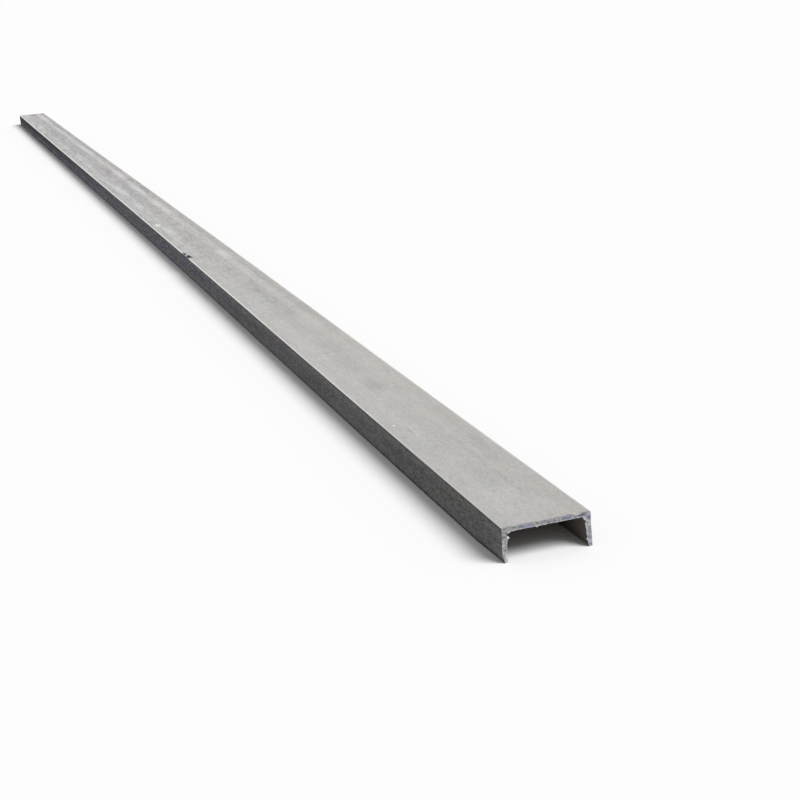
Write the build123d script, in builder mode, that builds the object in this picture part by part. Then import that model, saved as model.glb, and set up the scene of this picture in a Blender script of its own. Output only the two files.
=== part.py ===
"""Hot-rolled steel channel, one plain length of stock.

The channel lies on the toes of its two flanges with the web on top. Its length runs
along Y, its depth across X, and the floor is Z = 0 below the middle of the length.
"""

import math
import os

from build123d import *

# Rolled section
depth = 180.0
flange_width = 70.0
web_thickness = 9.0
flange_thickness = 10.5
flange_slope = 0.1
root_radius = 10.5
toe_radius = 5.25
toe_edge_radius = 1.5
web_edge_radius = 1.5

# Length as cut
length = 9000.0

# The inner faces of the flanges lean apart towards the toes. The flange thickness is
# the one halfway between the web and the toes.
half_depth = depth / 2
web_underside = flange_width - web_thickness
half_taper = flange_slope * web_underside / 2
toe_thickness = flange_thickness - half_taper
root_thickness = flange_thickness + half_taper

# Both roundings of a toe share its thickness, and a thin toe has smaller ones.
toe_corner_angle = math.pi / 2 + math.atan(flange_slope)
toe_edge_share = 0.3
toe_flat_share = 0.1
toe_edge_round = min(toe_edge_radius, toe_edge_share * toe_thickness)
toe_room = (1 - toe_flat_share) * toe_thickness - toe_edge_round
toe_round = min(toe_radius, toe_room * math.tan(toe_corner_angle / 2))

with BuildPart() as channel:
    # Section as seen from the near end, drawn with sharp corners
    with BuildSketch(Plane.XZ) as section:
        with BuildLine():
            Polyline(
                (-half_depth, flange_width),
                (half_depth, flange_width),
                (half_depth, 0),
                (half_depth - toe_thickness, 0),
                (half_depth - root_thickness, web_underside),
                (-half_depth + root_thickness, web_underside),
                (-half_depth + toe_thickness, 0),
                (-half_depth, 0),
                close=True,
            )
        make_face()

        # Roots below the web, then the inner and outer corners of the toes
        fillet(section.vertices().group_by(Axis.Y)[1], root_radius)
        fillet(section.vertices().group_by(Axis.Y)[0].sort_by(Axis.X)[1:3], toe_round)
        toe_ends = section.vertices().group_by(Axis.Y)[0].sort_by(Axis.X)
        fillet([toe_ends[0], toe_ends[-1]], toe_edge_round)

        # Outer edges of the web
        fillet(section.vertices().group_by(Axis.Y)[-1], web_edge_radius)

    # Rolled along its length, and cut square at both ends
    extrude(amount=length / 2, both=True)

channel.part.label = "channel"

os.makedirs("parts", exist_ok=True)
export_step(channel.part, "parts/channel.step")
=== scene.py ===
"""Looks of one length of hot-rolled steel channel, lying on its toes with the web on top.

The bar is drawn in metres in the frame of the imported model: the near sawn end faces -Y,
the left flange is at -X, and the floor is Z = 0.
"""

import math

import bpy
from mathutils import Matrix, Vector, noise


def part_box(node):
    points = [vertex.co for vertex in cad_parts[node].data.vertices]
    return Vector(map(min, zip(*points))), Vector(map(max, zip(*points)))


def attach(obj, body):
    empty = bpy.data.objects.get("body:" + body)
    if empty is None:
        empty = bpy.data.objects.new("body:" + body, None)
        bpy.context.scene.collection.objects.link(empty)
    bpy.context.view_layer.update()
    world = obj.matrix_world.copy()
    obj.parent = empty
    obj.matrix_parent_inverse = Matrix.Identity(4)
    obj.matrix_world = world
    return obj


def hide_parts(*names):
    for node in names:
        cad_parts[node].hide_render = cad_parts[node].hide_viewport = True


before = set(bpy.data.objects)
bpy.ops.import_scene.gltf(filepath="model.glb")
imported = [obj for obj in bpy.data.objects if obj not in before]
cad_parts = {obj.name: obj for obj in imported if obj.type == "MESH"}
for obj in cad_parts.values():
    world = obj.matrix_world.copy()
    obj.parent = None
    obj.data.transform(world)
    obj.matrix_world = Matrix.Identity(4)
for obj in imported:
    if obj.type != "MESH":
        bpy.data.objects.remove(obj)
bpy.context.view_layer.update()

# Rolled section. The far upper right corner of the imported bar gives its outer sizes.
HALF_DEPTH, HALF_LENGTH, FLANGE_WIDTH = Vector(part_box("channel")[1])
WEB_THICKNESS = 0.009
FLANGE_THICKNESS = 0.0105
FLANGE_SLOPE = 0.1
ROOT_RADIUS = 0.0105
TOE_RADIUS = 0.00525
TOE_EDGE_RADIUS = 0.0015
WEB_EDGE_RADIUS = 0.0015
WEB_UNDERSIDE = FLANGE_WIDTH - WEB_THICKNESS
HALF_TAPER = FLANGE_SLOPE * WEB_UNDERSIDE / 2
TOE_THICKNESS = FLANGE_THICKNESS - HALF_TAPER
ROOT_THICKNESS = FLANGE_THICKNESS + HALF_TAPER
LEAN = math.atan(FLANGE_SLOPE)
CORNER_TANGENT = math.tan((math.pi / 2 + LEAN) / 2)

# Steps of the mesh round half the section, from the middle of the web to the toe. The
# bend over the root runs along the back, round the outer edge and down the side. The
# steps are close for a short way below the root.
WEB_STEPS = 18
BEND_BACK_STEPS = 8
BEND_EDGE_STEPS = 5
BEND_SIDE_STEPS = 4
BELOW_ROOT = 0.005
BELOW_ROOT_STEPS = 3
FLANGE_STEPS = 11
TOE_SIDE_STEPS = 3
TOE_EDGE_STEPS = 4

# Rings of vertices along the bar, and how far from each end the close ones are
RING_SPACING = 0.0255
END_RINGS = (0.0, 0.0006, 0.0018, 0.004, 0.008, 0.015, 0.026, 0.042, 0.065)

# Quads from the outer to the inner edge of a cut, and the angle from which edges are sharp
CUT_STEPS = 6
SHARP_ANGLE = math.radians(40)

# Patterns of ripples, and how far apart they lie in the noise
RIGHT_TOE, LEFT_TOE, DISH, RIGHT_DINGS, LEFT_DINGS = range(1, 6)
TORN_EDGE, NEAR_BURR, ROLLED_EDGE, SAW_MARKS, FAR_BURR = range(6, 11)
PATTERN_DISTANCE = 17.3

# Waves left by rolling: how far the toes spread and the web dishes, and waves a metre
TOE_SPREAD = 0.0007
TOE_WAVES = 1.3
WEB_DISH = 0.0003
DISH_WAVES_ALONG, DISH_WAVES_ACROSS = 1.9, 8

# Dings of handling: depth, waves a metre, and the height below which a wave leaves none
DING_DEPTH = 0.0011
DING_WAVES = 9
DING_THRESHOLD = 0.25

# Bow of the bar to the right: how far, and where along it the bow starts, peaks and ends
BOW = 0.0058
BOW_START, BOW_PEAK, BOW_END = -4.1, -1.2, 4.2

# Left toe knocked inwards at the near end: how far along the bar the knock reaches, how
# far in it goes at the outer and the inner face and from what height down, and how much
# of the toe's inner rounding it has filled. The right toe leans out a little.
BENT_REACH = 0.13
BENT_OUTER, BENT_OUTER_HEIGHT = 0.0044, 0.019
BENT_INNER, BENT_INNER_HEIGHT = 0.0030, 0.034
TOE_FILLED = 0.8
RIGHT_LEAN = 0.0020

# Outer edge of a cut, rolled over by the saw: how far in, how far along the bar and by
# what power, how uneven, in how many waves a metre, and how far from the right face it is
# at its full
ROLL_OVER = 0.0009
ROLL_OVER_REACH = 0.005
ROLL_OVER_POWER = 3
ROLL_OVER_UNEVEN = 0.7
ROLL_OVER_WAVES = 150
ROLL_OVER_ONSET = 0.02

# Pry mark on the left edge of the web's back. Each dent or gouge is given as its place
# across and along, its half width and half length, and its depth. The lip stands up.
PRY_START, PRY_END = -1.700, -1.550
PRY_RING_SPACING = 0.0045
PRY_DENT = (-0.0790, -1.582, 0.0080, 0.022, 0.0030)
PRY_GROOVE = (-0.0785, -1.650, 0.0120, 0.014, 0.0030)
PRY_HOLE = (-0.0724, -1.627, 0.0062, 0.016, 0.0052)
PRY_TAIL = (-0.0700, -1.655, 0.0054, 0.012, 0.0038)
PRY_LIP = (-0.0785, -1.612, 0.0040, 0.011, -0.0016)
PRY_GOUGES = (PRY_DENT, PRY_GROOVE, PRY_HOLE, PRY_TAIL)

# A gouge fades out this many half widths from its middle
GOUGE_FADE = 1.25

# Torn edge along the pry mark: how deep, how far in from the edge, how steeply it sets in
# from both ends, its mean and ragged shares, and its waves a metre
TORN_DEPTH = 0.0028
TORN_REACH = 0.007
TORN_ONSET = 1.6
TORN_MEAN, TORN_RAGGED = 0.75, 0.6
TORN_WAVES = 90

# Dark steel along the torn edge: how far in from the bar's edge and beyond the middle of
# the pry mark its centre lies, half width and half length
TORN_STEEL = (0.001, 0.006, 0.0072, 0.060)

# Soft marks on the web's back: place across and along, half width and half length. All
# have the same half height.
MARK_HEIGHT = 0.012
PALE_PATCHES = (
    (0.046, -0.367, 0.014, 0.10),
    (0.044, 0.133, 0.014, 0.15),
    (0.048, 0.717, 0.012, 0.15),
    (0.046, 1.930, 0.011, 0.22),
    (0.045, 4.100, 0.014, 0.20),
    (-0.038, -0.367, 0.013, 0.10),
    (-0.036, 0.150, 0.014, 0.18),
    (-0.038, -1.070, 0.014, 0.08),
    (0.050, -0.560, 0.010, 0.08),
    (0.046, -1.660, 0.014, 0.08),
)
HAZES = (
    (-0.026, -4.330, 0.045, 0.150),
    (-0.045, -3.450, 0.040, 0.750),
    (-0.060, -2.200, 0.030, 0.450),
    (-0.034, -0.900, 0.026, 0.300),
)
SHADES = (
    (-0.070, -4.206, 0.008, 0.012),
    (-0.004, -3.525, 0.022, 0.040),
    (-0.009, -3.174, 0.038, 0.009),
    (0.006, -2.330, 0.012, 0.040),
    (-0.003, -1.920, 0.012, 0.040),
    (0.062, -0.167, 0.030, 0.016),
    (0.056, 0.467, 0.035, 0.030),
    (0.000, 1.050, 0.022, 0.450),
    (-0.050, 2.950, 0.020, 0.400),
)
SMUDGES = (
    (-0.045, -3.897, 0.003, 0.025),
    (-0.0725, -3.930, 0.008, 0.012),
    (0.000, -1.490, 0.008, 0.032),
    (0.079, -1.610, 0.006, 0.030),
    (-0.059, -0.820, 0.014, 0.040),
    (0.006, 4.440, 0.016, 0.050),
)
SCUFFS = (
    (-0.0647, -3.843, 0.0025, 0.007),
    (-0.0540, -0.917, 0.0100, 0.026),
)

# Burrs and notches that the saw left on the inner edge of the near end: across, height,
# how far the metal stands out or, below 0, is missing, and half width. Each fades out the
# same number of half widths from its middle.
CUT_MARKS = (
    (-0.0786, 0.0380, -0.0009, 0.0050),
    (-0.0776, 0.0496, 0.0034, 0.0021),
    (-0.0762, 0.0552, -0.0032, 0.0024),
    (-0.0196, 0.0610, 0.0026, 0.0024),
    (-0.0240, 0.0610, -0.0012, 0.0020),
    (0.0712, 0.0602, -0.0016, 0.0030),
    (0.0777, 0.0515, -0.0022, 0.0026),
    (0.0794, 0.0380, -0.0006, 0.0040),
    (0.0804, 0.0290, 0.0005, 0.0030),
    (0.0822, 0.0155, 0.0037, 0.0022),
)
CUT_MARK_FADE = 1.4

# Even burr, highest on the left flange, fading by a power across the web to the right one
BURR_HEIGHT = 0.0003
BURR_POWER = 1.5

# Ragged burr all round a cut, its waves a metre, and the share of a burr's height by
# which it also stands out past the end of the bar
BURR_RAGGEDNESS = 0.0009
BURR_WAVES = 170
BURR_OUTWARD = 0.4

# Saw marks over a cut: how uneven, and waves a metre across and up
SAW_RELIEF = 0.00025
SAW_WAVES_ACROSS, SAW_WAVES_UP = 150, 320

# Where the look of the inside starts and is at its full, in from the bar's outer faces
INSIDE_START, INSIDE_FULL = 0.0025, 0.0045

# Spots of other colour on the near cut: across, height, half width and half height. All
# have the same half depth.
SPOT_DEPTH = 0.01
PALE_SCAR = (0.0630, 0.0690, 0.0065, 0.0022)
WORN_CORNER = (0.0860, 0.0665, 0.0040, 0.0045)
WORN_STRIPE = (0.0795, 0.0400, 0.0020, 0.0200)
# The burr tip's bright spot is partly bare steel and partly a painted highlight
BURR_TIP = (-0.0754, 0.0502, 0.0027, 0.0027)

# Half the floor's side, and the lamp's strength, width in the sky and way of its light
FLOOR_HALF = 300.0
LAMP_STRENGTH = 2.8
LAMP_ANGLE = math.radians(35)
LAMP_DIRECTION = (-0.42, 0.48, -0.77)

# Camera of the photograph
CAMERA_PLACE = (-1.0183, -6.7455, 1.0784)
CAMERA_YAW = math.radians(18.514)
CAMERA_PITCH = math.radians(17.272)
CAMERA_ROLL = math.radians(-3.613)
CAMERA_LENS_MM = 65.12
SENSOR_MM = 36.0
CLIP_START, CLIP_END = 0.05, 1000.0


class Wire:
    """One shader socket. Arithmetic on it adds Math nodes and gives the result's socket."""

    def __init__(self, finish, socket):
        self.finish = finish
        self.socket = socket

    def math(self, operation, *values):
        """One Math node on numbers or wires."""
        return self.finish.add("ShaderNodeMath", {"operation": operation}, dict(enumerate(values)))

    def __add__(self, other):
        return self.math("ADD", self, other)

    __radd__ = __add__

    def __sub__(self, other):
        return self.math("SUBTRACT", self, other)

    def __rsub__(self, other):
        return self.math("SUBTRACT", other, self)

    def __mul__(self, other):
        return self.math("MULTIPLY", self, other)

    __rmul__ = __mul__

    def __abs__(self):
        return self.math("ABSOLUTE", self)

    def most(self, other):
        """The larger of the two."""
        return self.math("MAXIMUM", self, other)


class Finish:
    """A node material under way. Every node comes from `add`."""

    def __init__(self, owner):
        owner.use_nodes = True
        self.owner = owner
        self.tree = owner.node_tree
        self.tree.nodes.clear()

    def add(self, kind, settings=None, inputs=None, output=0):
        """A node with its settings made, then its sockets filled or linked. Gives an output."""
        node = self.tree.nodes.new(kind)
        for name, value in (settings or {}).items():
            setattr(node, name, value)
        for name, value in (inputs or {}).items():
            if isinstance(value, Wire):
                self.tree.links.new(value.socket, node.inputs[name])
            else:
                node.inputs[name].default_value = value
        return Wire(self, node.outputs[output]) if len(node.outputs) else None

    def blend(self, factor, first, second):
        """Colour mix: `first` where the factor is 0, `second` where it is 1.

        The colours of the node are its inputs 6 and 7 and its output 2.
        """
        return self.add(
            "ShaderNodeMix", {"data_type": "RGBA"}, {0: factor, 6: first, 7: second}, output=2
        )

    def step(self, value, start, end):
        """0 up to `start` and 1 from `end`, smooth between. It falls where start is larger."""
        inputs = {"Value": value, "From Min": start, "From Max": end}
        return self.add("ShaderNodeMapRange", {"interpolation_type": "SMOOTHSTEP"}, inputs)

    def vector(self, operation, *values, output=0):
        """Arithmetic on places and directions."""
        settings = {"operation": operation}
        return self.add("ShaderNodeVectorMath", settings, dict(enumerate(values)), output)

    def cloud(self, place, scale, detail=2.0, roughness=0.5):
        """Noise of either sign about 0, with blots about 1/scale metres across."""
        inputs = {"Vector": place, "Scale": scale, "Detail": detail, "Roughness": roughness}
        return self.add("ShaderNodeTexNoise", None, inputs, output="Fac") - 0.5

    def axes(self, place):
        """The X, Y and Z of a vector, as three sockets."""
        node = self.add("ShaderNodeSeparateXYZ", None, {0: place}).socket.node
        return [Wire(self, socket) for socket in node.outputs]

    def spots(self, place, spots, raggedness, softness=0.25):
        """1 inside each spot and 0 outside, with edges broken up by `raggedness`."""
        mask = 0.0
        for centre, size in spots:
            offset = self.vector("SUBTRACT", place, centre)
            scaled = self.vector("MULTIPLY", offset, [1 / half for half in size])
            reach = self.vector("LENGTH", scaled, output="Value") + raggedness
            mask = self.step(reach, 1 + softness, 1 - softness).most(mask)
        return mask

    def steel(self, colour, roughness, height, strength, distance, steady):
        """Ends the material with a shader over a relief. `steady` sets its other sockets."""
        relief = self.add(
            "ShaderNodeBump", None,
            {"Strength": strength, "Distance": distance, "Height": height},
        )
        inputs = {"Base Color": colour, "Roughness": roughness, "Normal": relief, **steady}
        shader = self.add("ShaderNodeBsdfPrincipled", None, inputs)
        self.add("ShaderNodeOutputMaterial", None, {"Surface": shader})
        return self.owner


class ScaleFinish(Finish):
    """Mill scale under way, with a point's place on the bar, soft masks and clouds."""

    def __init__(self, owner):
        super().__init__(owner)
        self.place = self.add("ShaderNodeTexCoord", output="Object")
        bowed_x, self.y, self.z = self.axes(self.place)
        bowed = self.past(BOW_START, BOW_PEAK) * self.past(BOW_END, BOW_PEAK)
        self.x = bowed_x - bowed * BOW
        self.upward = self.axes(self.add("ShaderNodeTexCoord", output="Normal"))[2]
        self.back = self.step(self.upward, 0.35, 0.8)

        # Stretches of the bar's length, from the near end to the far one
        self.nearest = self.past(-3.2, -4.2)
        self.midway = self.past(-3.9, -0.4) * self.past(2.6, 0.2)
        self.far = self.past(-3.6, 3.0)
        self.farther = self.past(-0.8, 2.6)

        # Clouds of noise, all but one drawn out along the bar
        self.broad = self.drawn_cloud(0.33, 3.5, 3.0)
        self.blots = self.drawn_cloud(0.33, 17.0, 5.0, 0.75)
        self.mottle = self.drawn_cloud(1.0, 70.0, 3.0, 0.6)
        self.grain = self.drawn_cloud(0.33, 260.0, 4.0, 1.0)
        self.bands = self.drawn_cloud(0.09, 38.0, 5.0, 0.8)
        self.streaks = self.drawn_cloud(0.02, 60.0, 2.0)
        self.tint = self.drawn_cloud(0.33, 26.0, 4.0, 0.65)
        self.fibres = self.drawn_cloud(0.09, 120.0, 3.0, 0.8)
        self.flecks = self.drawn_cloud(0.24, 120.0, 3.0)
        self.sheen = self.drawn_cloud(0.16, 70.0, 3.0)
        self.dust = self.drawn_cloud(0.33, 30.0, 4.0, 0.65)
        self.ragged = self.mottle * 0.6 + self.grain * 0.8

    def past(self, start, end):
        """0 up to the place `start` along the bar and 1 from `end`, or the other way round."""
        return self.step(self.y, start, end)

    def drawn_cloud(self, squeeze, scale, detail, roughness=0.5):
        """A cloud drawn out along the bar: the smaller `squeeze` is, the longer its blots."""
        drawn = self.vector("MULTIPLY", self.place, (1.0, squeeze, 1.0))
        return self.cloud(drawn, scale, detail, roughness)

    def marks(self, marks, raggedness, softness=0.25):
        """`spots` on the web's back, from places and half sizes across and along it."""
        spots = [
            ((across, along, FLANGE_WIDTH), (half_width, half_length, MARK_HEIGHT))
            for across, along, half_width, half_length in marks
        ]
        return self.spots(self.place, spots, raggedness, softness)


def rgb(red, green, blue):
    """An opaque colour."""
    return (red, green, blue, 1.0)


def spread(start, end, count):
    """`count` places after `start`, evenly, ending at `end`."""
    return [start + (end - start) * step / count for step in range(1, count + 1)]


def arc(centre_x, centre_z, radius, start, end, count):
    """`count` points of an arc after its start, from angle `start` to `end` in radians."""
    return [
        (centre_x + radius * math.cos(turn), centre_z + radius * math.sin(turn))
        for turn in spread(start, end, count)
    ]


def ease(share):
    """A smooth rise from 0 to 1 as `share` goes from 0 to 1."""
    share = min(max(share, 0.0), 1.0)
    return share * share * (3 - 2 * share)


def ripple(along, across, pattern):
    """Smooth noise between -1 and 1 of the named pattern."""
    return noise.noise(Vector((along, across, PATTERN_DISTANCE * pattern)))


def inner_face(z):
    """Where the tapered inner face of the right flange lies at a height."""
    return HALF_DEPTH - FLANGE_THICKNESS - FLANGE_SLOPE * (z - WEB_UNDERSIDE / 2)


def right_half_ribs():
    """Pairs of an outer and an inner point, from the middle of the web to the right toe."""
    root_x = HALF_DEPTH - ROOT_THICKNESS - ROOT_RADIUS / CORNER_TANGENT
    toe_x = HALF_DEPTH - TOE_THICKNESS + TOE_RADIUS / CORNER_TANGENT
    root_end_z = WEB_UNDERSIDE - ROOT_RADIUS + ROOT_RADIUS * math.sin(LEAN)
    toe_end_z = TOE_RADIUS - TOE_RADIUS * math.sin(LEAN)
    edge_x = HALF_DEPTH - WEB_EDGE_RADIUS
    edge_z = FLANGE_WIDTH - WEB_EDGE_RADIUS

    web = [0.0] + spread(0.0, root_x, WEB_STEPS)
    ribs = [((x, FLANGE_WIDTH), (x, WEB_UNDERSIDE)) for x in web]

    bend_outer = [(x, FLANGE_WIDTH) for x in spread(root_x, edge_x, BEND_BACK_STEPS)]
    bend_outer += arc(edge_x, edge_z, WEB_EDGE_RADIUS, math.pi / 2, 0, BEND_EDGE_STEPS)
    bend_outer += [(HALF_DEPTH, z) for z in spread(edge_z, root_end_z, BEND_SIDE_STEPS)]
    bend_inner = arc(
        root_x, WEB_UNDERSIDE - ROOT_RADIUS, ROOT_RADIUS, math.pi / 2, LEAN, len(bend_outer)
    )
    ribs += list(zip(bend_outer, bend_inner))

    close_end_z = root_end_z - BELOW_ROOT
    flange = spread(root_end_z, close_end_z, BELOW_ROOT_STEPS)
    flange += spread(close_end_z, toe_end_z, FLANGE_STEPS)
    ribs += [((HALF_DEPTH, z), (inner_face(z), z)) for z in flange]

    toe_outer = [(HALF_DEPTH, z) for z in spread(toe_end_z, TOE_EDGE_RADIUS, TOE_SIDE_STEPS)]
    toe_outer += arc(
        HALF_DEPTH - TOE_EDGE_RADIUS, TOE_EDGE_RADIUS, TOE_EDGE_RADIUS,
        0, -math.pi / 2, TOE_EDGE_STEPS,
    )
    toe_inner = arc(
        toe_x, TOE_RADIUS, TOE_RADIUS, math.pi + LEAN, math.pi * 3 / 2, len(toe_outer)
    )
    return ribs + list(zip(toe_outer, toe_inner))


def section_ribs():
    """All pairs of outer and inner points, from the left toe to the right toe."""
    right = right_half_ribs()
    left = [((-outer[0], outer[1]), (-inner[0], inner[1])) for outer, inner in right[:0:-1]]
    return left + right


def stations():
    """Places along Y that have a ring of vertices, closer at both ends and the pry mark."""
    near = [-HALF_LENGTH + distance for distance in END_RINGS]
    far = [-place for place in reversed(near)]
    stretches = (
        (near[-1], PRY_START, RING_SPACING),
        (PRY_START, PRY_END, PRY_RING_SPACING),
        (PRY_END, far[0], RING_SPACING),
    )
    places = near
    for start, end, spacing in stretches:
        places = places + spread(start, end, round((end - start) / spacing))
    return places + far[1:]


def rolling_waves(x, y, z):
    """Slow waves of the rolled bar. The toes spread most, and the web dishes in its middle."""
    toe = RIGHT_TOE if x > 0 else LEFT_TOE
    below_web = 1 - z / FLANGE_WIDTH
    spread_out = TOE_SPREAD * ripple(y * TOE_WAVES, 0, toe) * below_web
    dish = WEB_DISH * ripple(y * DISH_WAVES_ALONG, x * DISH_WAVES_ACROSS, DISH)
    dish *= 1 - (x / HALF_DEPTH) ** 2
    return Vector((math.copysign(spread_out, x), 0, dish))


def bow(y):
    """How far the whole bar bows to the right at a place along it."""
    rise = (y - BOW_START) / (BOW_PEAK - BOW_START)
    fall = (BOW_END - y) / (BOW_END - BOW_PEAK)
    return BOW * ease(min(rise, fall))


def bent_toe(x, y, z, outside):
    """The near end: its left toe knocked inwards, and its right one leaning out."""
    near = ease(1 - (y + HALF_LENGTH) / BENT_REACH)
    if x > 0:
        return Vector((RIGHT_LEAN * near * ease(1 - z / WEB_UNDERSIDE), 0, 0))
    if outside:
        return Vector((BENT_OUTER * near * ease(1 - z / BENT_OUTER_HEIGHT), 0, 0))
    bend = BENT_INNER * ease(1 - z / BENT_INNER_HEIGHT)
    if z < TOE_RADIUS:
        bend += TOE_FILLED * (-inner_face(z) - x)
    return Vector((bend * near, 0, 0))


def dings(x, y, z):
    """Small knocks on the two outer edges of the web's back."""
    to_edge = math.hypot(HALF_DEPTH - abs(x), FLANGE_WIDTH - z)
    reach = 1 - to_edge / (2 * WEB_EDGE_RADIUS)
    if reach <= 0:
        return Vector()
    edge = RIGHT_DINGS if x > 0 else LEFT_DINGS
    knock = max(0.0, ripple(y * DING_WAVES, 0, edge) - DING_THRESHOLD) * DING_DEPTH * ease(reach)
    return Vector((-math.copysign(knock, x), 0, -knock))


def gouge(x, y, mark):
    """How deep one mark of the pry bar is at a place on the web's back."""
    across, along, half_width, half_length, depth = mark
    off_centre = math.hypot((x - across) / half_width, (y - along) / half_length)
    return depth * ease(GOUGE_FADE - off_centre)


def pry_mark(x, y, z):
    """Gouges and a torn edge on the left of the web's back."""
    if not PRY_START < y < PRY_END or x > 0 or z < WEB_UNDERSIDE:
        return Vector()
    across = x + bow(y)
    sink = max(gouge(across, y, mark) for mark in PRY_GOUGES) + gouge(across, y, PRY_LIP)
    middle = (PRY_START + PRY_END) / 2
    along = ease(TORN_ONSET * (1 - abs(y - middle) / (PRY_END - middle)))
    to_edge = math.hypot(HALF_DEPTH + x, FLANGE_WIDTH - z)
    ragged = TORN_MEAN + TORN_RAGGED * ripple(y * TORN_WAVES, 0, TORN_EDGE)
    torn = TORN_DEPTH * ease(1 - to_edge / TORN_REACH) * along * ragged
    return Vector((torn, 0, -sink - torn))


def burr(x, y, z):
    """How far the saw's burr stands into the mouth at a point of a cut's inner edge."""
    leftward = max(0.0, 0.5 - x / (2 * inner_face(WEB_UNDERSIDE)))
    ragged = ripple(x * BURR_WAVES, z * BURR_WAVES, NEAR_BURR if y < 0 else FAR_BURR)
    height = BURR_HEIGHT * leftward ** BURR_POWER + BURR_RAGGEDNESS * ragged
    for across, up, stands, half_width in CUT_MARKS if y < 0 else ():
        height += stands * ease(CUT_MARK_FADE - math.hypot(x - across, z - up) / half_width)
    return height


def rolled_over(x, z, lip):
    """How far the saw pushed a point of a cut's outer edge in. `lip` is 1 at the cut."""
    uneven = ROLL_OVER_UNEVEN * ripple(x * ROLL_OVER_WAVES, z * ROLL_OVER_WAVES, ROLLED_EDGE)
    pushed = ROLL_OVER * lip ** ROLL_OVER_POWER * (1 + uneven)
    return pushed * ease((HALF_DEPTH - x) / ROLL_OVER_ONSET)


def worn_rib(outer, inner, y):
    """One rib's outer and inner point at `y`, as rolling, handling and the saw left them."""
    points = []
    for outside, (x, z) in ((True, outer), (False, inner)):
        point = Vector((x, y, z)) + rolling_waves(x, y, z) + bent_toe(x, y, z, outside)
        if outside:
            point += dings(x, y, z) + pry_mark(x, y, z)
        points.append(point)
    to_end = HALF_LENGTH - abs(y)
    if to_end < ROLL_OVER_REACH:
        through = (points[1] - points[0]).normalized()
        lip = 1 - to_end / ROLL_OVER_REACH
        stand = burr(inner[0], y, inner[1]) * ease(lip)
        points[0] += through * rolled_over(*outer, lip)
        points[1] += through * stand
        points[1].y += math.copysign(BURR_OUTWARD * stand, y)
    for point in points:
        point.x += bow(y)
        point.z = max(point.z, 0.0)
    return points


def saw_face(vertices, ribs, ring_start, around, end_side):
    """Quads across one cut end, `CUT_STEPS` from its outer to its inner edge.

    The vertices between the edges are added here, a little uneven where the saw ran. The
    second result holds those on the flat of each toe, by the two ends of that flat.
    """
    rows = []
    for rib in range(len(ribs)):
        outer, inner = ring_start + rib, ring_start + around - 1 - rib
        row = [outer]
        for share in range(1, CUT_STEPS):
            point = Vector(vertices[outer]).lerp(Vector(vertices[inner]), share / CUT_STEPS)
            uneven = ripple(point.x * SAW_WAVES_ACROSS, point.z * SAW_WAVES_UP, SAW_MARKS)
            point.y = end_side * (HALF_LENGTH + uneven * SAW_RELIEF)
            row.append(len(vertices))
            vertices.append(tuple(point))
        rows.append(row + [inner])
    faces = []
    for here, after in zip(rows, rows[1:]):
        for share in range(CUT_STEPS):
            quad = (here[share], after[share], after[share + 1], here[share + 1])
            faces.append(quad if end_side > 0 else quad[::-1])
    toe_flats = {(row[0], row[-1]): row[1:-1] for row in (rows[0], rows[-1])}
    return faces, toe_flats


def joined(quad, toe_flats):
    """The quad alone, or a fan of triangles where a cut has split its edge on a toe's flat."""
    for start, end, third, fourth in (quad, quad[2:] + quad[:2]):
        between = toe_flats.get((start, end), toe_flats.get((end, start), [])[::-1])
        if between:
            edge = [start, *between, end]
            fan = [(here, after, third) for here, after in zip(edge, edge[1:])]
            return fan + [(start, third, fourth)]
    return [quad]


def rolled_bar(scale, sawn):
    """The channel as a mesh of its own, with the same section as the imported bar."""
    ribs = section_ribs()
    places = stations()
    around = 2 * len(ribs)
    vertices = []
    for y in places:
        worn = [worn_rib(outer, inner, y) for outer, inner in ribs]
        vertices += [tuple(outer) for outer, _ in worn]
        vertices += [tuple(inner) for _, inner in reversed(worn)]

    near_cut, near_flats = saw_face(vertices, ribs, 0, around, -1)
    far_cut, far_flats = saw_face(vertices, ribs, (len(places) - 1) * around, around, 1)
    toe_flats = near_flats | far_flats

    skin = []
    for row in range(len(places) - 1):
        here, ahead = row * around, (row + 1) * around
        for column in range(around):
            after = (column + 1) % around
            quad = (here + column, here + after, ahead + after, ahead + column)
            skin += joined(quad, toe_flats)

    mesh = bpy.data.meshes.new("rolled_channel_bar")
    mesh.from_pydata(vertices, [], skin + near_cut + far_cut)
    mesh.materials.append(scale)
    mesh.materials.append(sawn)
    for polygon in mesh.polygons:
        polygon.use_smooth = True
        polygon.material_index = 0 if polygon.index < len(skin) else 1
    mesh.update()
    mesh.set_sharp_from_angle(angle=SHARP_ANGLE)
    bar = bpy.data.objects.new("rolled_channel_bar", mesh)
    bpy.context.scene.collection.objects.link(bar)
    return bar


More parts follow.
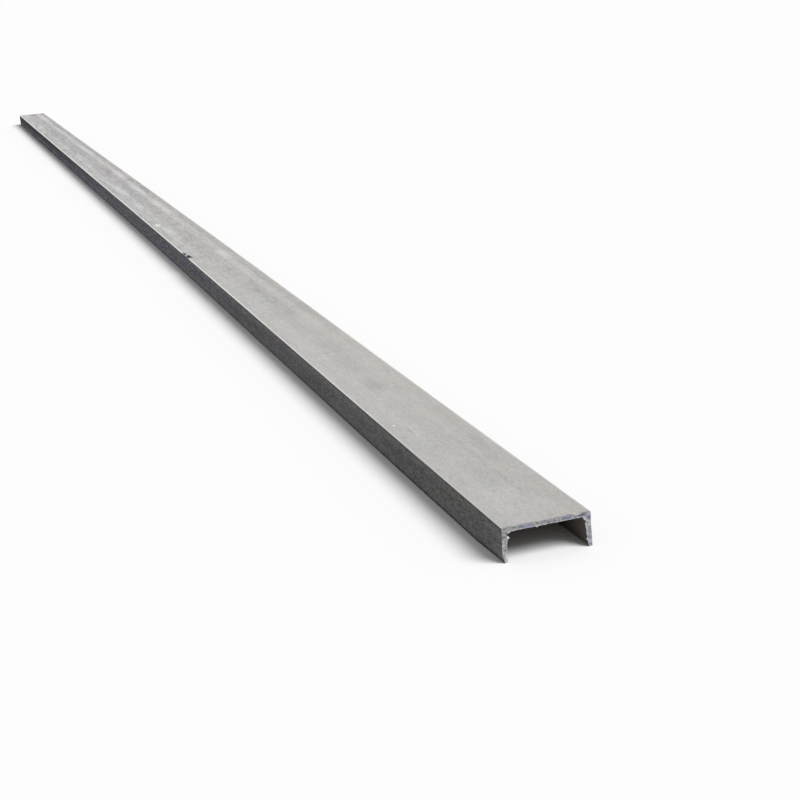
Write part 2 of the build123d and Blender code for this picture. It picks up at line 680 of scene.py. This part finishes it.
def web_back(scale):
    """Pale back of the web, with light and dark bands along it that are stronger far away."""
    right_band = scale.step(abs(scale.x - 0.044), 0.019, 0.006)
    left_band = scale.step(abs(scale.x + 0.048), 0.028, 0.008)
    middle_band = scale.step(scale.x, -0.038, 0.000) * scale.step(scale.x, 0.030, 0.019)
    right_margin = scale.step(scale.x, 0.050, 0.062)
    rolled_bands = right_band + left_band * 0.4 - middle_band * 1.1 - right_margin * 1.5

    tone = 0.46 + scale.broad * 0.5 + scale.blots * (1.0 - scale.far * 0.5) + scale.mottle * 0.3
    tone = tone + scale.grain * (2.4 + scale.past(-4.0, -3.0) * 0.6)
    tone = tone + scale.bands * (0.5 + scale.farther * 1.9)
    tone = tone + scale.streaks * (0.3 + scale.far * 0.9)
    tone = tone + scale.flecks * scale.midway * 2.0 + scale.fibres * scale.farther * 3.6
    tone = tone + rolled_bands * (0.03 + scale.past(-3.8, -2.4) * 0.06 + scale.far * 0.2)
    cool = scale.past(-2.2, 0.6)
    lightest = scale.blend(cool, rgb(0.632, 0.6255, 0.606), rgb(0.628, 0.622, 0.619))
    darkest = scale.blend(cool, rgb(0.352, 0.3495, 0.34), rgb(0.35, 0.347, 0.345))
    colour = scale.blend(tone, darkest, lightest)

    # Warm stains, more of them to the right and further along
    rightward = scale.step(scale.x, -0.03, 0.05)
    beyond = scale.past(-3.4, -1.0)
    warm = scale.tint * (0.7 + beyond * 0.3) + scale.broad * 0.4
    warm = warm + scale.nearest * rightward * 0.06 - scale.sheen * 0.7
    warm = scale.step(warm, -0.16 + beyond * 0.11, 0.3 - beyond * 0.07)
    warm = warm * (0.2 + rightward * 0.42 + beyond * 0.22)
    colour = scale.blend(warm, colour, rgb(0.53, 0.486, 0.457))

    # Bluish sheen, and pale bare patches on the light bands towards the far end
    bluish = scale.step(scale.sheen, 0.02, 0.14)
    bluish = bluish * (0.05 + scale.past(-4.0, -1.5) * 0.16 + scale.far * 0.45)
    colour = scale.blend(bluish, colour, rgb(0.5, 0.5, 0.565))
    bare = scale.step(scale.bands + scale.blots, 0.1, 0.28)
    bare = bare * (right_band + left_band * 0.3) * scale.far
    return scale.blend(bare * 0.5, colour, rgb(0.74, 0.738, 0.79))


def flange_side(scale):
    """Charcoal outside of the flanges, partly painted shade, with painted shadow at the foot and
    painted shade towards the far end.
    """
    middle_on = scale.past(-2.4, -0.8)
    # Painted shadow: a dark line along the foot, where the toe's rounding is in shade
    foot = scale.step(scale.z, 0.0062, 0.0026)
    foot = foot * (0.7 + scale.nearest * 0.7 + middle_on * 0.4 + scale.farther * 0.2)
    # Painted light: the lower band is lightened against the floor's shadow there. The upper band
    # is lighter towards the top.
    low = scale.step(scale.z, 0.036, 0.006)
    high = scale.step(scale.z, 0.044, 0.056)
    # Painted shade: a dark line just below the rim
    below_rim_shade = scale.step(scale.z, 0.0635, 0.0655) * scale.step(scale.z, 0.0692, 0.0678)

    tone = 0.38 + scale.broad * 0.23 + scale.mottle * 0.6 + scale.nearest * 0.05
    tone = tone + scale.grain * (4.2 + scale.past(-4.0, -2.8))
    tone = tone + scale.blots * (0.4 + scale.far * 1.3)
    tone = tone + scale.bands * (0.75 + scale.farther * 3.2)
    tone = tone + scale.flecks * scale.midway * 3.4 + scale.fibres * scale.farther * 10.0
    tone = tone + low * (0.27 + scale.past(-4.3, -3.7) * 0.05) + high * 0.13
    tone = tone + low * scale.past(-3.0, -0.8) * 0.12
    tone = tone - foot * 0.7 - below_rim_shade * 0.27
    cold = scale.past(-3.8, -1.5)
    lightest = scale.blend(cold, rgb(0.333, 0.332, 0.328), rgb(0.33, 0.331, 0.341))
    darkest = scale.blend(cold, rgb(0.059, 0.06, 0.06), rgb(0.059, 0.059, 0.065))
    colour = scale.blend(tone, darkest, lightest)

    # Stains of four tints
    brown = scale.step(scale.tint, 0.02, 0.18) * 0.3
    colour = scale.blend(brown, colour, rgb(0.215, 0.18, 0.155))
    blue = scale.step(scale.sheen + scale.tint * scale.farther * 0.8, 0.02, 0.12)
    blue = blue * (scale.past(-4.3, -1.8) * 0.45 + scale.far * 0.6)
    colour = scale.blend(blue, colour, rgb(0.145, 0.155, 0.29))
    olive = scale.step(scale.sheen, -0.03, -0.13) * (cold * 0.3 + scale.far * 0.4)
    colour = scale.blend(olive, colour, rgb(0.205, 0.205, 0.155))
    purple = scale.step(scale.tint + scale.flecks, -0.02, -0.16) * (0.1 + scale.far * 0.4)
    colour = scale.blend(purple, colour, rgb(0.205, 0.17, 0.22))

    # Painted shade: the left side darkens upwards and far away, and both sides darken where the
    # toes stand, as a painted shadow
    away = scale.past(-0.5, 3.2) * (0.24 + scale.step(scale.z, 0.010, 0.050) * 0.57)
    away = away + middle_on * scale.step(scale.z, 0.034, 0.054) * 0.22
    away = away * scale.step(scale.x, 0.02, -0.02)
    toe_contact_shadow = scale.step(scale.z, 0.0036, 0.0012) * 0.75
    return scale.blend(away.most(toe_contact_shadow), colour, rgb(0.02, 0.02, 0.024))


def inner_faces(scale):
    """Inside of the channel: brownish dust on the flanges, paler dust under the web."""
    brown = 0.5 + scale.dust * 1.2 + scale.bands * 0.6
    flanges = scale.blend(brown, rgb(0.09, 0.083, 0.08), rgb(0.3, 0.262, 0.232))
    pale = 0.5 + scale.dust * 1.1 + scale.bands * 0.8
    ceiling = scale.blend(pale, rgb(0.2, 0.192, 0.185), rgb(0.45, 0.43, 0.405))
    under_web = scale.step(scale.upward, -0.6, -0.95) * scale.step(scale.z, 0.04, 0.055)
    return scale.blend(under_web, flanges, ceiling)


def worn_edges(scale, colour):
    """The colour so far, with the edges of the back worn bare at the cuts, and bright rims along
    both edges that are partly wear and partly painted highlight.
    """
    to_end = HALF_LENGTH - abs(scale.y)
    rolled = scale.step(to_end + scale.mottle * 0.012 + scale.grain * 0.004, 0.0042, 0.0020)
    rolled = rolled * scale.step(abs(scale.x - 0.063), 0.004, 0.009) * scale.back
    bare = scale.blend(0.5 + scale.grain * 4, rgb(0.2, 0.205, 0.235), rgb(0.34, 0.345, 0.36))
    colour = scale.blend(rolled * 0.8, colour, bare)

    # Bright rims on the upward faces of both edges: worn bare in part, and in part a painted
    # highlight
    to_edge = (HALF_DEPTH - abs(scale.x)).most(FLANGE_WIDTH - scale.z)
    reach = to_edge + scale.mottle * 0.005 + scale.grain * 0.006 - scale.far * 0.0024
    rim = scale.step(reach, 0.0060, 0.0024) * scale.step(scale.upward, 0.15, 0.5)
    strength = 0.22 + scale.past(-4.5, -3.6) * 0.18 + scale.past(-4.2, -2.0) * 0.47
    rim = rim * (strength + scale.bands * 0.5)
    return scale.blend(rim, colour, rgb(0.92, 0.89, 0.85))


def handling_marks(scale, colour):
    """The colour so far, with the soft marks of handling on the back laid over it."""
    # Each kind's marks, raggedness, softness, strength and colour
    kinds = (
        (PALE_PATCHES, scale.ragged + scale.bands * 3, 0.7, 0.45, rgb(0.75, 0.745, 0.75)),
        (HAZES, scale.ragged + scale.bands * 3, 0.7, 0.1, rgb(0.75, 0.745, 0.74)),
        (SHADES, scale.ragged + scale.bands * 3, 0.7, 0.13, rgb(0.2, 0.17, 0.15)),
        (SMUDGES, scale.ragged + scale.bands * 2, 0.5, 0.22, rgb(0.2, 0.195, 0.19)),
        (SCUFFS, scale.ragged * 2.5, 0.4, 0.75, rgb(0.84, 0.83, 0.82)),
    )
    for marks, raggedness, softness, strength, paint in kinds:
        mask = scale.marks(marks, raggedness, softness)
        colour = scale.blend(mask * strength, colour, paint)
    return colour


def pry_mark_colours(scale, colour):
    """The colour so far, with bare dark steel and painted shade at the torn edge and dents, and
    nearly black painted shadow in the hole.
    """
    middle = (PRY_START + PRY_END) / 2
    inward, beyond, half_width, half_length = TORN_STEEL
    torn_edge = (bow(middle) - HALF_DEPTH + inward, middle + beyond, half_width, half_length)
    # Dark bare steel along the torn edge, the dent and the groove, partly painted shade in them
    torn = scale.marks([torn_edge, PRY_DENT[:4], PRY_GROOVE[:4]], scale.ragged)
    colour = scale.blend(torn * 0.95, colour, rgb(0.135, 0.132, 0.14))
    pushed_up = scale.marks([PRY_LIP[:4]], scale.ragged)
    colour = scale.blend(pushed_up, colour, rgb(0.8, 0.79, 0.77))
    # Painted shadow, nearly black, in the hole and its tail
    deepest_shadow = scale.marks([PRY_HOLE[:4], PRY_TAIL[:4]], scale.ragged)
    return scale.blend(deepest_shadow, colour, rgb(0.02, 0.018, 0.024))


def mill_scale():
    """Matte grey scale: pale and dusty on the web's back, charcoal on the flanges, partly as
    painted shade.
    """
    scale = ScaleFinish(bpy.data.materials.new("mill_scale"))
    inside = scale.step(abs(scale.x), HALF_DEPTH - INSIDE_START, HALF_DEPTH - INSIDE_FULL)
    # The flanges' charcoal is partly the scale's own colour and partly painted shade of the sides
    # turned from the light
    colour = scale.blend(inside, flange_side(scale), inner_faces(scale))
    colour = scale.blend(scale.back, colour, web_back(scale))
    colour = worn_edges(scale, colour)
    colour = handling_marks(scale, colour)
    colour = pry_mark_colours(scale, colour)
    return scale.steel(
        colour, roughness=0.74 + scale.mottle * 0.3 + scale.blots * 0.15,
        height=scale.grain + scale.mottle, strength=0.3, distance=0.0006,
        steady={"Specular IOR Level": 0.08},
    )


def sawn_steel():
    """Cut ends: bare steel, patchy and bluish, brighter along the burred inner edge, partly as a
    painted highlight.
    """
    finish = Finish(bpy.data.materials.new("sawn_steel"))
    place = finish.add("ShaderNodeTexCoord", output="Object")
    x, _, z = finish.axes(place)

    patches = finish.cloud(place, 130.0, detail=3.0, roughness=0.6)
    grain = finish.cloud(place, 520.0, detail=3.0, roughness=0.7)
    tint = finish.cloud(place, 95.0, detail=2.0)
    saw_lines = finish.cloud(finish.vector("MULTIPLY", place, (0.06, 1.0, 1.3)), 900.0)

    on_flange = finish.step(z, 0.062, 0.05) * 0.29 + finish.step(z, 0.026, 0.012) * 0.13
    tone = 0.21 + patches * 3.0 + grain * 2.0 + saw_lines * 1.3 + on_flange
    colour = finish.blend(tone, rgb(0.11, 0.12, 0.15), rgb(0.56, 0.55, 0.54))
    mid_web = finish.step(x, -0.055, -0.035) * finish.step(x, 0.060, 0.020)
    blue = finish.step(tint + mid_web * 0.06, 0.02, 0.18) * (0.35 + mid_web * 0.35)
    colour = finish.blend(blue, colour, rgb(0.29, 0.33, 0.5))
    yellowish = finish.step(tint, -0.06, -0.24) * 0.5
    colour = finish.blend(yellowish, colour, rgb(0.56, 0.52, 0.46))
    # The bright rim by the mouth: the burr's bare steel and a painted highlight where it catches
    # the light
    from_mouth = (z - WEB_UNDERSIDE).most(abs(x) - inner_face(z))
    rim = finish.step(from_mouth + grain * 0.002, 0.0022, 0.0006)
    colour = finish.blend(rim * (0.5 + patches), colour, rgb(0.72, 0.71, 0.72))

    # Each kind's spots, raggedness, softness, strength and colour
    kinds = (
        ([PALE_SCAR], grain, 0.25, 0.7, rgb(0.62, 0.61, 0.6)),
        ([WORN_CORNER, WORN_STRIPE], grain + patches, 0.5, 0.45, rgb(0.58, 0.58, 0.6)),
        # Burr tip: partly a painted highlight
        ([BURR_TIP], grain, 0.25, 0.85, rgb(0.87, 0.86, 0.84)),
    )
    for rows, raggedness, softness, strength, paint in kinds:
        spots = [
            ((across, -HALF_LENGTH, height), (half_width, SPOT_DEPTH, half_height))
            for across, height, half_width, half_height in rows
        ]
        mask = finish.spots(place, spots, raggedness, softness)
        colour = finish.blend(mask * strength, colour, paint)

    return finish.steel(
        colour, roughness=0.5 + patches * 0.4,
        height=grain + saw_lines + patches, strength=0.5, distance=0.0004,
        steady={"Metallic": 0.35},
    )


def seen_or_mirrored(finish):
    """1 for rays of the camera, of reflections and through glass, and 0 for the rest."""
    rays = [
        finish.add("ShaderNodeLightPath", output=kind)
        for kind in ("Is Camera Ray", "Is Glossy Ray", "Is Transmission Ray")
    ]
    return rays[0].most(rays[1]).most(rays[2])


def pale_floor():
    """Pale matte floor, clear when seen from below so that the underside shows too."""
    finish = Finish(bpy.data.materials.new("pale_floor"))
    colour = finish.blend(seen_or_mirrored(finish), rgb(0.5, 0.5, 0.5), rgb(1.0, 1.0, 1.0))
    matte = finish.add("ShaderNodeBsdfDiffuse", None, {"Color": colour})
    clear = finish.add("ShaderNodeBsdfTransparent")
    below = finish.add("ShaderNodeNewGeometry", output="Backfacing")
    shader = finish.add("ShaderNodeMixShader", None, {0: below, 1: matte, 2: clear})
    finish.add("ShaderNodeOutputMaterial", None, {"Surface": shader})
    return finish.owner


def studio():
    """Pale floor, soft sun-like lamp from the front right, and a white backdrop all round."""
    half = FLOOR_HALF
    corners = [(-half, -half, 0), (half, -half, 0), (half, half, 0), (-half, half, 0)]
    mesh = bpy.data.meshes.new("floor")
    mesh.from_pydata(corners, [], [(0, 1, 2, 3)])
    mesh.materials.append(pale_floor())
    floor = bpy.data.objects.new("floor", mesh)
    bpy.context.scene.collection.objects.link(floor)

    lamp = bpy.data.lights.new("key_lamp", "SUN")
    lamp.energy = LAMP_STRENGTH
    lamp.angle = LAMP_ANGLE
    key = bpy.data.objects.new("key_lamp", lamp)
    bpy.context.scene.collection.objects.link(key)
    key.rotation_euler = Vector(LAMP_DIRECTION).to_track_quat("-Z", "Y").to_euler()

    world = bpy.data.worlds.new("backdrop")
    bpy.context.scene.world = world
    finish = Finish(world)
    colour = finish.blend(seen_or_mirrored(finish), rgb(0.3, 0.3, 0.3), rgb(1.0, 1.0, 1.0))
    shade = finish.add("ShaderNodeBackground", None, {"Color": colour, "Strength": 1.0})
    finish.add("ShaderNodeOutputWorld", None, {"Surface": shade})


def camera():
    """The camera of the photograph, turned by its yaw, pitch and roll."""
    lens = bpy.data.cameras.new("photo_camera")
    lens.lens = CAMERA_LENS_MM
    lens.sensor_width = SENSOR_MM
    lens.clip_start = CLIP_START
    lens.clip_end = CLIP_END
    eye = bpy.data.objects.new("photo_camera", lens)
    bpy.context.scene.collection.objects.link(eye)
    ahead = Vector((
        math.sin(CAMERA_YAW) * math.cos(CAMERA_PITCH),
        math.cos(CAMERA_YAW) * math.cos(CAMERA_PITCH),
        -math.sin(CAMERA_PITCH),
    ))
    level = ahead.cross(Vector((0, 0, 1))).normalized()
    upright = level.cross(ahead)
    right = math.cos(CAMERA_ROLL) * level + math.sin(CAMERA_ROLL) * upright
    up = math.cos(CAMERA_ROLL) * upright - math.sin(CAMERA_ROLL) * level
    turn = Matrix((right, up, -ahead)).transposed()
    eye.matrix_world = Matrix.Translation(CAMERA_PLACE) @ turn.to_4x4()
    bpy.context.scene.camera = eye


camera()
studio()

bar = rolled_bar(mill_scale(), sawn_steel())
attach(bar, "root")
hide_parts("channel")

bpy.context.scene.view_settings.view_transform = "Standard"
